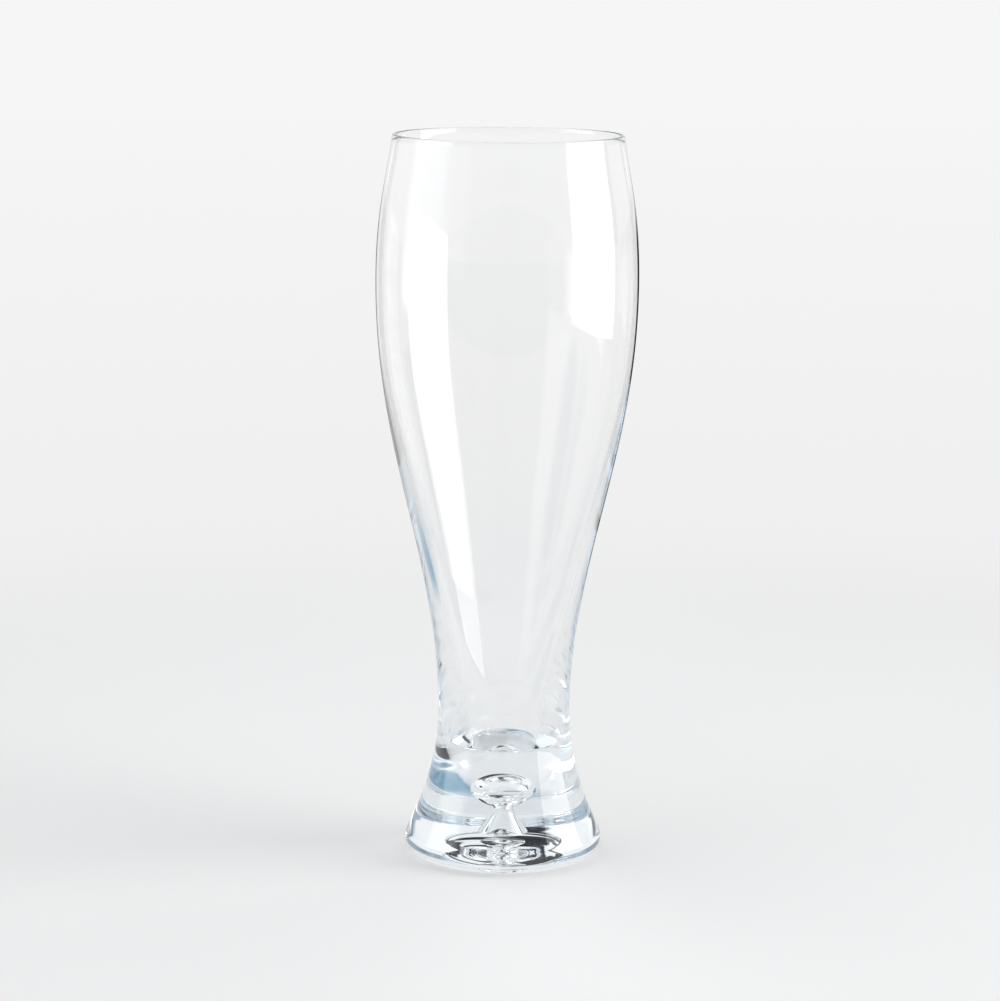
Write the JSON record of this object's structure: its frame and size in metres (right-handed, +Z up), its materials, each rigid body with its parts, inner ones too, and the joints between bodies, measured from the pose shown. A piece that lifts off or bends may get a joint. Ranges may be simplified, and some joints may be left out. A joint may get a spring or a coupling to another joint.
{
  "type": "pilsner glass",
  "caption": "Tall clear pilsner glass: thin rim, rounded belly tapering to a slim waist, and a heavy flared foot that holds a mushroom-shaped air bubble.",
  "frame": {"origin": "on the glass's axis, on the surface that it stands on", "axes": "+Z up along the axis of the glass, from the foot to the rim"},
  "size_m": [0.082, 0.082, 0.2286],
  "materials": {
    "clear_glass": "clear, fire-polished"
  },
  "bodies": {
    "root": {"bowl": "clear_glass", "foot": "clear_glass", "pontil_seal": "clear_glass"}
  },
  "joints": []
}
